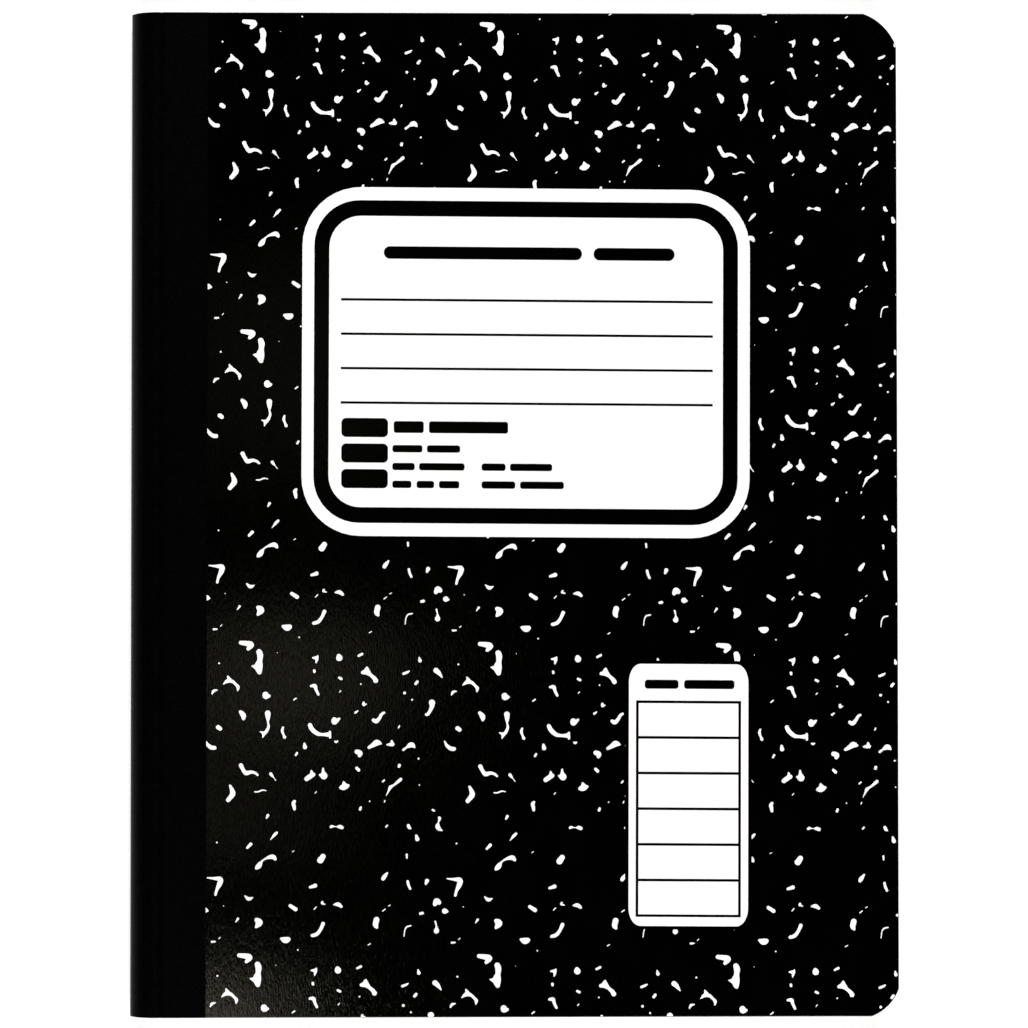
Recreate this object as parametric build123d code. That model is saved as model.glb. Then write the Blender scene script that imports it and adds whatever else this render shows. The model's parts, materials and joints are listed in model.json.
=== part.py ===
"""A sewn composition notebook lying on its back cover, in millimetres.

X runs across the covers, from the spine at -X to the fore edge at +X. Y runs up the covers, with the head at +Y.
Z is up, and the origin is at the middle of the underside.
"""

from build123d import *
import math
import os

# Driving dimensions
HEIGHT = 247.65  # nominal 9 3/4 inches
WIDTH = 189.5  # nominal 7 1/2 inches, as trimmed
THICKNESS = 12.0
BOARD = 0.8  # cover board
ENDPAPER = 0.1  # lining glued inside each cover
TAPE = 0.15  # cloth-paper tape round the spine
TAPE_FLAP = 19.0  # from the spine's outermost line to the tape's edge on each cover
CREASE = 7.8  # from the spine's outermost line to the groove that the covers fold at
GROOVE_HALF_WIDTH = 0.7
GROOVE_DEPTH = 0.4
HEAD_CORNER = 8.0  # how far the corner cut reaches along each edge
FOOT_CORNER = 6.6
HEAD_RADIUS = 13.5  # each arc is larger than its reach, so the cut meets both edges at a slight angle
FOOT_RADIUS = 11.2
DIVIDER = 0.2  # card leaf between two subjects
SUBJECTS = 3
DIVIDER_GUTTER = 6.0  # from the spine's outermost line to a divider's glued edge
THREAD_RADIUS = 0.2
THREAD_PLAY = 0.02  # between the thread and the leaves that it passes through
STITCH = 10.0
NEEDLE_HOLES = 24
OVERCUT = 1.0  # how far a cutting block reaches past what it cuts

# Places that follow from them
SPINE = -WIDTH / 2
FORE_EDGE = WIDTH / 2
HEAD = HEIGHT / 2
FOOT = -HEIGHT / 2
MIDDLE = THICKNESS / 2
FOLD_LINE = SPINE + CREASE
NOSE_START = FOLD_LINE - GROOVE_HALF_WIDTH  # where the flat of the spine turns into its rounded nose
BOARD_START = FOLD_LINE + GROOVE_HALF_WIDTH
TAPE_EDGE = SPINE + TAPE_FLAP
LINED_COVER = BOARD + ENDPAPER
PAGES_BOTTOM = LINED_COVER
PAGES_TOP = THICKNESS - LINED_COVER
SUBJECT = (PAGES_TOP - PAGES_BOTTOM) / SUBJECTS
FOLD_DEPTH = (PAGES_TOP - PAGES_BOTTOM) / 2  # the innermost fold lies this far inside the outermost one
OUTER_RUN = SPINE + TAPE + THREAD_RADIUS + THREAD_PLAY
INNER_RUN = SPINE + TAPE + FOLD_DEPTH
CHANNEL = THREAD_RADIUS + THREAD_PLAY


def corner_cut(start, end, outward, radius):
    """The arc that a corner punch leaves between two edges, bulging towards the corner that it took away."""
    half_chord = math.dist(start, end) / 2
    bulge = radius - math.sqrt(radius**2 - half_chord**2)
    middle = (
        (start[0] + end[0]) / 2 + bulge * outward[0] / math.sqrt(2),
        (start[1] + end[1]) / 2 + bulge * outward[1] / math.sqrt(2),
    )
    return ThreePointArc(start, middle, end)


def sheet(left, bottom, thickness):
    """A leaf or board from x = left to the fore edge, with both fore-edge corners punched."""
    foot_start = (FORE_EDGE - FOOT_CORNER, FOOT)
    foot_end = (FORE_EDGE, FOOT + FOOT_CORNER)
    head_start = (FORE_EDGE, HEAD - HEAD_CORNER)
    head_end = (FORE_EDGE - HEAD_CORNER, HEAD)
    edges = [
        Line((left, FOOT), foot_start),
        corner_cut(foot_start, foot_end, (1, -1), FOOT_RADIUS),
        Line(foot_end, head_start),
        corner_cut(head_start, head_end, (1, 1), HEAD_RADIUS),
        Line(head_end, (left, HEAD)),
        Line((left, HEAD), (left, FOOT)),
    ]
    outline = make_face(edges)
    return Pos(0, 0, bottom) * extrude(outline, amount=thickness)


def box(x_from, x_to, y_from, y_to, z_from, z_to):
    """A block between two corners."""
    size = (x_to - x_from, y_to - y_from, z_to - z_from)
    centre = ((x_from + x_to) / 2, (y_from + y_to) / 2, (z_from + z_to) / 2)
    return Pos(*centre) * Box(*size)


def nose(depth):
    """The rounded back of the book at a depth below the tape's outer face, as an upper and a lower quarter."""
    radii = (NOSE_START - SPINE - depth, MIDDLE - depth)
    upper = EllipticalCenterArc((NOSE_START, MIDDLE), *radii, start_angle=90, arc_size=90)
    lower = EllipticalCenterArc((NOSE_START, MIDDLE), *radii, start_angle=180, arc_size=90)
    return [upper, lower]


def groove(depth, from_top):
    """The three points of the hinge groove, from the nose towards the covers, on the upper or the lower side."""
    points = [
        (NOSE_START, depth),
        (FOLD_LINE, depth + GROOVE_DEPTH),
        (BOARD_START, depth),
    ]
    if from_top:
        points = [(x, THICKNESS - z) for x, z in points]
    return points


def lines(points):
    """Straight edges from each point to the next."""
    return [Line(a, b) for a, b in zip(points, points[1:])]


def along_spine(edges):
    """Runs a closed section, drawn in X and Z, from the foot to the head."""
    section = Plane.XZ * make_face(edges)
    return Pos(0, HEAD, 0) * extrude(section, amount=HEIGHT)


def cover(bottom, outer_side):
    """A cover board, pressed thinner under the tape so that the two finish level."""
    board = sheet(BOARD_START, bottom, BOARD)
    if outer_side == "top":
        seat = (THICKNESS - TAPE, THICKNESS + OVERCUT)
    else:
        seat = (-OVERCUT, TAPE)
    return board - box(BOARD_START - OVERCUT, TAPE_EDGE, FOOT - OVERCUT, HEAD + OVERCUT, *seat)


def spine_tape():
    """One strip glued round the spine, from one cover to the other, creased at both hinge lines."""
    outer_top = groove(0, from_top=True)
    outer_bottom = groove(0, from_top=False)
    inner_top = groove(TAPE, from_top=True)
    inner_bottom = groove(TAPE, from_top=False)
    edges = lines([(TAPE_EDGE, THICKNESS)] + outer_top[::-1])
    edges += nose(0)
    edges += lines(outer_bottom + [(TAPE_EDGE, 0), (TAPE_EDGE, TAPE)] + inner_bottom[::-1])
    edges += nose(TAPE)
    edges += lines(inner_top + [(TAPE_EDGE, THICKNESS - TAPE), (TAPE_EDGE, THICKNESS)])
    return along_spine(edges)


def stitch_places():
    """Heights of the needle holes along the fold."""
    first = -STITCH * (NEEDLE_HOLES - 1) / 2
    return [first + STITCH * n for n in range(NEEDLE_HOLES)]


def sewing_thread():
    """Thread along the outermost fold, through every needle hole, and back along the innermost fold."""
    holes = stitch_places()
    run = holes[-1] - holes[0] + 2 * THREAD_RADIUS
    along = Rot(90, 0, 0) * Cylinder(THREAD_RADIUS, run)
    thread = Pos(OUTER_RUN, 0, MIDDLE) * along + Pos(INNER_RUN, 0, MIDDLE) * along
    across = Rot(0, 90, 0) * Cylinder(THREAD_RADIUS, INNER_RUN - OUTER_RUN)
    for y in holes:
        thread += Pos((OUTER_RUN + INNER_RUN) / 2, y, MIDDLE) * across
    return thread


def thread_room():
    """What the sewing takes out of the leaves: a channel along each fold, and the needle holes between them."""
    holes = stitch_places()
    ends = (holes[0] - CHANNEL, holes[-1] + CHANNEL)
    sides = (MIDDLE - CHANNEL, MIDDLE + CHANNEL)
    room = box(SPINE, OUTER_RUN + CHANNEL, *ends, *sides)
    room += box(INNER_RUN - CHANNEL, INNER_RUN + CHANNEL, *ends, *sides)
    across = Rot(0, 90, 0) * Cylinder(CHANNEL, INNER_RUN - OUTER_RUN)
    for y in holes:
        room += Pos((OUTER_RUN + INNER_RUN) / 2, y, MIDDLE) * across
    return room


def divider(number):
    """The card leaf after a subject, counted from the back cover, glued near the fold."""
    middle = PAGES_BOTTOM + SUBJECT * number
    return sheet(SPINE + DIVIDER_GUTTER, middle - DIVIDER / 2, DIVIDER)


def page_block():
    """All the folded sheets, which swell at the sewn fold up to the tape and are thinner between the covers."""
    past_fore_edge = FORE_EDGE + OVERCUT
    upper = groove(TAPE, from_top=True)[:2] + [(FOLD_LINE, PAGES_TOP), (past_fore_edge, PAGES_TOP)]
    lower = groove(TAPE, from_top=False)[:2] + [(FOLD_LINE, PAGES_BOTTOM), (past_fore_edge, PAGES_BOTTOM)]
    edges = nose(TAPE) + lines(lower + upper[::-1])
    pages = along_spine(edges) & sheet(SPINE - OVERCUT, 0, THICKNESS)
    for number in range(1, SUBJECTS):
        pages -= divider(number)
    return pages - thread_room()


parts = {
    "front_cover": cover(THICKNESS - BOARD, "top"),
    "back_cover": cover(0, "bottom"),
    "front_endpaper": sheet(BOARD_START, PAGES_TOP, ENDPAPER),
    "back_endpaper": sheet(BOARD_START, BOARD, ENDPAPER),
    "spine_tape": spine_tape(),
    "page_block": page_block(),
    "rear_divider": divider(1),
    "front_divider": divider(2),
    "sewing_thread": sewing_thread(),
}
os.makedirs("parts", exist_ok=True)
for name, shape in parts.items():
    export_step(shape, os.path.join("parts", f"{name}.step"))
    print(name, "volume", round(shape.volume, 1), "mm3")
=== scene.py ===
# %% [markdown]
# # A sewn composition notebook
# The book lies closed on its back cover. Two stiff boards carry a black print with white flecks, a tape holds
# them to the sewn sheets, and each board swings where the tape is creased. The CAD model gives every size.
# This script gives the print, the paper and the light.

# %% Load the frame
import json
import math
import random

import bmesh
import bpy
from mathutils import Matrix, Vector
from mathutils.geometry import convex_hull_2d, delaunay_2d_cdt


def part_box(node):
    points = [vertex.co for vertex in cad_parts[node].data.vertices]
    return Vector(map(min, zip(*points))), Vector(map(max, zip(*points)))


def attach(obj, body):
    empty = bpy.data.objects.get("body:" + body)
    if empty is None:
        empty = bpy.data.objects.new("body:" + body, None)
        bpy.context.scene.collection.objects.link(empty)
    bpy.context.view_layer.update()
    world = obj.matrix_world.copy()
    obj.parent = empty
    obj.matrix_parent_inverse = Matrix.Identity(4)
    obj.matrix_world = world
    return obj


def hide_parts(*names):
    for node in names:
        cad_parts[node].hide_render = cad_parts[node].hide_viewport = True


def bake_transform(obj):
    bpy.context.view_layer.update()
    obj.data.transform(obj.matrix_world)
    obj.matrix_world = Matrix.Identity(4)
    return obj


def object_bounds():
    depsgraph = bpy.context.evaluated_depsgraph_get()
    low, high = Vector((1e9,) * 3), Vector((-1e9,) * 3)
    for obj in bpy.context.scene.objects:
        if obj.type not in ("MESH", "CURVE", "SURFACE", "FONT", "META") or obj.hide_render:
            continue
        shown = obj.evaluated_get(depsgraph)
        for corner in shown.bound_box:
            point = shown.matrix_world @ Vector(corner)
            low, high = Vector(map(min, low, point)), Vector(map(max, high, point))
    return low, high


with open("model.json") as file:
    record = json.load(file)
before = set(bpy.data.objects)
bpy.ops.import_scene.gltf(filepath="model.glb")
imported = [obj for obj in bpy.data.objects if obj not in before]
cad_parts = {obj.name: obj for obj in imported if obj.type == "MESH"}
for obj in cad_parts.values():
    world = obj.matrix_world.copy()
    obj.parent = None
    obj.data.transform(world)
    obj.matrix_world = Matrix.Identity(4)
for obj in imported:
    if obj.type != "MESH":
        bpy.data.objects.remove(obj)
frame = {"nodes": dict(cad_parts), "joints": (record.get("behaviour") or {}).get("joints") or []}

MM = 0.001
cad_low, cad_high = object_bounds()

# %% [markdown]
# ## Places on the book
# Everything hangs on a few planes of the CAD model, so they are read from it and never typed in again.
# Heights are counted from the middle of the thickness, because the two halves of the book mirror each other.

# %% Read the planes of the book
SPINE, FORE_EDGE = cad_low.x, cad_high.x
FOOT, HEAD = cad_low.y, cad_high.y
TOP = cad_high.z
MIDDLE = TOP / 2
FOLD_LINE = frame["joints"][0]["pos_m"][0]
BOARD_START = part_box("front_cover")[0].x
BOARD_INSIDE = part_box("front_cover")[0].z
TAPE_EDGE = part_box("spine_tape")[1].x
NOSE_START = 2 * FOLD_LINE - BOARD_START
PAGES_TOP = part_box("front_endpaper")[0].z
DIVIDER_UNDER, DIVIDER_OVER = (corner.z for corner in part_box("front_divider"))
TAPE = cad_high.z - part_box("page_block")[1].z
LEAF_COUNT = 120
print("book", [round(size / MM, 2) for size in cad_high - cad_low], "mm, fold line at", FOLD_LINE / MM)

# %% [markdown]
# ## Writing shaders as sums
# A node tree is easier to read as arithmetic. `Wire` wraps one output socket, and its operators add Math nodes,
# in both orders, so `1 - mask` works. Colours never go through Math, which would turn them grey: they meet in
# a Mix node. `Wiring` is a node tree under construction, with one method that makes any other node, and
# `Finish` is the wiring of one material.


# %% Wrap a socket
class Wire:
    """One number or colour that travels between nodes."""

    def __init__(self, wiring, socket):
        self.wiring = wiring
        self.socket = socket

    def math(self, operation, first, second=0.0):
        return self.wiring.node("ShaderNodeMath", {"operation": operation}, {0: first, 1: second})

    def __add__(self, other):
        return self.math("ADD", self, other)

    def __sub__(self, other):
        return self.math("SUBTRACT", self, other)

    def __rsub__(self, other):
        return self.math("SUBTRACT", other, self)

    def __mul__(self, other):
        return self.math("MULTIPLY", self, other)

    __radd__ = __add__
    __rmul__ = __mul__


class Wiring:
    """A node tree under construction."""

    def __init__(self, owner):
        owner.use_nodes = True
        self.tree = owner.node_tree

    def plug(self, socket, value):
        if isinstance(value, Wire):
            self.tree.links.new(value.socket, socket)
        else:
            socket.default_value = value

    def node(self, kind, settings=None, inputs=None, output=0):
        made = self.tree.nodes.new(kind)
        for name, value in (settings or {}).items():
            setattr(made, name, value)
        for name, value in (inputs or {}).items():
            self.plug(made.inputs[name], value)
        return Wire(self, made.outputs[output])

    def band(self, value, low, high, out_low=0.0, out_high=1.0, curve="LINEAR"):
        """Stretches low to high on to out_low to out_high, and clamps."""
        return self.node("ShaderNodeMapRange", {"clamp": True, "interpolation_type": curve}, {
            "Value": value, "From Min": low, "From Max": high, "To Min": out_low, "To Max": out_high,
        })


class Finish(Wiring):
    """A material, its Principled shader, and the nodes that vary it over the surface."""

    def __init__(self, name, **constants):
        self.material = bpy.data.materials.new(name)
        super().__init__(self.material)
        self.shader = self.tree.nodes["Principled BSDF"]
        for socket, value in constants.items():
            self.set(socket.replace("_", " "), value)

    def set(self, socket, value):
        self.plug(self.shader.inputs[socket], value)

    def grain(self, size, detail=2.0, roughness=0.5):
        """Noise with a spot size in metres along X, Y and Z, as a number about 0.5."""
        place = self.node("ShaderNodeTexCoord", output="Object")
        scaled = self.node("ShaderNodeMapping", {}, {"Vector": place, "Scale": [1 / s for s in size]})
        return self.node("ShaderNodeTexNoise", {}, {
            "Vector": scaled, "Scale": 1.0, "Detail": detail, "Roughness": roughness,
        })

    def mix(self, factor, first, second):
        """Blends two colours, each a Wire or three numbers."""
        first, second = (c if isinstance(c, Wire) else (*c, 1) for c in (first, second))
        return self.node("ShaderNodeMix", {"data_type": "RGBA"}, {"Factor": factor, 6: first, 7: second}, output=2)

    def bump(self, height, depth, strength=1.0):
        self.set("Normal", self.node("ShaderNodeBump", {}, {
            "Height": height, "Distance": depth, "Strength": strength,
        }))


print("wiring ready")

# %% [markdown]
# ## The coated cover
# The print is black ink on white-coated board under a thin gloss, so ink and bare coating share one surface:
# board fibres run up the cover and show as short streaks wherever the gloss catches light. Both finishes come
# from one function, and only the colours differ.


# %% Make the cover finishes
def coated(name, dark, light, dull):
    """Gloss-coated board with its fibres running up the cover."""
    finish = Finish(name, Specular_IOR_Level=0.4)
    fibres = finish.grain((0.34 * MM, 1.6 * MM, 1 * MM), detail=2.0, roughness=0.55)
    clouds = finish.grain((9 * MM, 14 * MM, 9 * MM), detail=4.0, roughness=0.65)
    finish.set("Base Color", finish.mix(finish.band(clouds, 0.35, 0.65), dark, light))
    finish.set("Roughness", dull + finish.band(fibres, 0.35, 0.65, 0.0, 0.08) + 0.04 * clouds)
    finish.bump(fibres + 1.5 * clouds, 0.021 * MM)
    return finish.material


ink = coated("cover_ink", (0.0001, 0.0001, 0.0001), (0.0004, 0.0004, 0.0003), 0.035)
bare_coating = coated("cover_white", (0.91, 0.91, 0.905), (0.95, 0.95, 0.945), 0.16)
print("cover finishes", ink.name, bare_coating.name)

# %% [markdown]
# The raw edge of a board shows its plies, pressed from recycled pulp. Fine noise, drawn out sideways and very
# thin in Z, gives plies. A second noise breaks them up.


# %% Make the cut edge of the board
def cut_board():
    """Grey-cream pulp in thin plies."""
    finish = Finish("board_edge", Roughness=0.9, Specular_IOR_Level=0.2)
    plies = finish.grain((3 * MM, 3 * MM, 0.09 * MM), detail=2.0)
    pulp = finish.grain((0.3 * MM, 0.3 * MM, 0.15 * MM), detail=3.0)
    tone = finish.band(0.6 * plies + 0.4 * pulp, 0.35, 0.65)
    finish.set("Base Color", finish.mix(tone, (0.36, 0.33, 0.28), (0.60, 0.57, 0.50)))
    finish.bump(pulp + plies, 0.04 * MM)
    return finish.material


board_edge = cut_board()
print("edge finish", board_edge.name)

# %% [markdown]
# ## Outlines of flecks
# A fleck of this print is a blot: round-ended, waisted, bent or hooked, and never quite straight. A short chain
# of discs describes one. The chain is smoothed, neighbouring discs are wrapped in hulls, and the constrained
# Delaunay routine melts the hulls into one outline. Drawing each outline by hand would take ten times the
# numbers.


# %% Turn a chain of discs into an outline
DISC_CORNERS = 14
CHAIN_STEPS = 4
SMOOTHEST = 0.012  # millimetres that an outline may lose when points are dropped
CREEP = 0.105  # millimetres that the ink creeps over the edge of a fleck


def smooth_chain(discs):
    """A Catmull-Rom curve through the discs' centres and radii."""
    if len(discs) < 3:
        return discs
    ends = [discs[0], *discs, discs[-1]]
    curve = []
    for before, start, end, after in zip(ends, ends[1:], ends[2:], ends[3:]):
        for step in range(CHAIN_STEPS):
            t = step / CHAIN_STEPS
            curve.append(tuple(
                0.5 * (2 * b + (c - a) * t + (2 * a - 5 * b + 4 * c - d) * t**2 + (3 * b - a - 3 * c + d) * t**3)
                for a, b, c, d in zip(before, start, end, after)
            ))
    return curve + [discs[-1]]


def disc_ring(x, y, radius):
    """Corners of a disc."""
    turns = (math.tau * n / DISC_CORNERS for n in range(DISC_CORNERS))
    left = max(radius - CREEP, CREEP)
    return [Vector((x + left * math.cos(a), y + left * math.sin(a))) for a in turns]


def drop_flat_points(loop):
    """Leaves out points that lie almost on the line between their neighbours."""
    kept = list(loop)
    n = 0
    while n < len(kept) and len(kept) > 6:
        before, here, after = kept[n - 1], kept[n], kept[(n + 1) % len(kept)]
        along = after - before
        off = abs(along.x * (here - before).y - along.y * (here - before).x) / max(along.length, 1e-9)
        if off < SMOOTHEST:
            kept.pop(n)
        n += 1
    return kept


def melt(chains):
    """The outline round one or more chains of discs that overlap."""
    points, faces = [], []
    for chain in chains:
        discs = smooth_chain(chain)
        for first, second in zip(discs, discs[1:] or discs):
            ring = disc_ring(*first) + disc_ring(*second)
            hull = convex_hull_2d(ring)
            faces.append(list(range(len(points), len(points) + len(hull))))
            points += [ring[i] for i in hull]
    made = delaunay_2d_cdt(points, [], faces, 1, 1e-5)
    places, triangles = made[0], made[2]
    directed = {(t[i], t[(i + 1) % len(t)]) for t in triangles for i in range(len(t))}
    following = {a: b for a, b in directed if (b, a) not in directed}
    start = min(following, key=lambda i: places[i].x)
    loop, at = [start], following[start]
    while at != start:
        loop.append(at)
        at = following[at]
    return drop_flat_points([places[i] for i in loop])


print("a round fleck has", len(melt([[(0, 0, 0.5)]])), "corners")

# %% [markdown]
# ## One repeat of the print
# The pattern repeats like wallpaper, so one repeat is laid out and the rest is a loop. Places are
# millimetres across from the spine and down from the head of the front cover, and the third number is a radius.
# A fleck with a side branch takes a second chain.

# %% Lay out one repeat
DOTS = [
    (22.1, 128.0, 0.32), (23.75, 143.55, 0.24), (41.95, 154.35, 0.3), (22.3, 160.7, 0.34), (36.6, 158.1, 0.14),
    (57.1, 165.85, 0.31), (71.3, 184.2, 0.35), (67.85, 168.05, 0.45),
    (69.7, 169.7, 0.34), (59.3, 194.65, 0.28), (71.5, 190.7, 0.28),
]
GRAINS = [
    [(30.4, 128.4, 0.5), (29.55, 129.3, 0.4)],
    [(41.0, 130.05, 0.2), (40.6, 130.3, 0.18)],
    [(27.3, 146.7, 0.4), (26.75, 147.5, 0.22)],
    [(40.1, 143.55, 0.52), (41.4, 144.4, 0.6)],
    [(44.95, 139.0, 0.42), (46.2, 138.6, 0.6)],
    [(45.95, 144.4, 0.24), (46.45, 143.85, 0.24)],
    [(20.95, 152.35, 0.38), (21.7, 152.3, 0.3)],
    [(22.6, 151.6, 0.17), (22.95, 151.25, 0.2)],
    [(19.2, 144.6, 0.78), (19.95, 144.75, 0.28)],
    [(68.65, 131.0, 0.36), (68.7, 131.8, 0.32)],
    [(63.9, 135.5, 0.3), (63.2, 136.4, 0.6), (62.85, 136.95, 0.56)],
    [(68.9, 137.6, 0.42), (69.1, 138.5, 0.42), (69.5, 139.4, 0.4)],
    [(73.65, 137.45, 0.6), (73.35, 138.2, 0.38)],
    [(72.0, 145.5, 0.43), (72.5, 145.4, 0.46)],
    [(64.2, 143.65, 0.2), (64.6, 143.4, 0.22)],
    [(62.8, 144.85, 0.26), (63.4, 144.4, 0.23)],
    [(59.2, 153.2, 0.23), (59.7, 152.9, 0.23)],
    [(51.7, 158.9, 0.6), (51.8, 159.4, 0.9)],
    [(56.55, 158.9, 0.38), (57.4, 158.45, 0.42)],
    [(71.45, 159.3, 0.28), (71.65, 160.1, 0.54)],
    [(20.6, 168.2, 0.28), (21.0, 167.5, 0.44), (21.8, 167.3, 0.24)],
    [(27.55, 172.65, 0.5), (28.25, 173.5, 0.76), (28.3, 174.4, 0.45)],
    [(22.1, 176.45, 0.66), (22.6, 176.8, 0.6)],
    [(38.0, 176.5, 0.36), (37.8, 177.3, 0.45), (38.1, 178.2, 0.37), (38.4, 178.9, 0.5)],
    [(43.25, 180.5, 0.38), (43.4, 181.35, 0.62)],
    [(41.45, 182.8, 0.38), (41.15, 183.3, 0.36)],
    [(45.65, 162.5, 0.42), (45.7, 162.8, 0.42)],
    [(40.65, 169.75, 0.27), (41.2, 169.35, 0.29)],
    [(51.8, 164.3, 0.42), (52.3, 164.55, 0.43)],
    [(51.85, 167.85, 0.22), (52.15, 167.5, 0.24)],
    [(55.8, 172.85, 0.4), (56.35, 172.45, 0.27)],
    [(50.7, 179.9, 0.25), (51.05, 180.05, 0.42), (51.45, 179.9, 0.25)],
    [(66.6, 185.8, 0.46), (66.5, 186.1, 0.46)],
    [(67.6, 163.3, 0.42), (68.4, 163.0, 0.41), (69.0, 162.65, 0.26)],
    [(71.0, 165.25, 0.44), (70.6, 165.75, 0.46)],
    [(66.6, 176.15, 0.28), (66.4, 176.6, 0.28)],
    [(56.1, 186.5, 0.47), (56.6, 187.0, 0.5)],
    [(35.0, 187.9, 0.5), (35.3, 188.3, 0.42), (35.8, 188.9, 0.2), (36.25, 189.5, 0.2)],
    [(31.1, 192.3, 0.26), (31.9, 192.3, 0.28), (33.0, 191.9, 0.28), (33.9, 192.05, 0.2)],
    [(45.9, 192.65, 0.22), (46.2, 192.3, 0.22)],
    [(34.35, 198.1, 0.46), (34.0, 198.75, 0.32)],
    [(36.5, 202.35, 0.4), (35.9, 202.95, 0.46), (35.0, 204.05, 0.16)],
    [(62.85, 189.5, 0.32), (62.5, 189.85, 0.3)],
    [(63.05, 194.5, 0.26), (62.9, 194.9, 0.22)],
    [(57.1, 196.2, 0.4), (56.95, 196.65, 0.43)],
    [(63.6, 200.65, 0.33), (63.3, 201.0, 0.3)],
    [(74.75, 196.8, 0.34), (75.1, 197.0, 0.36)],
    [(68.8, 200.6, 0.46), (69.0, 201.1, 0.5), (69.4, 201.4, 0.28)],
    [(70.75, 203.1, 0.38), (71.0, 204.0, 0.62)],
]
print(len(DOTS), "dots and", len(GRAINS), "grains")

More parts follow.
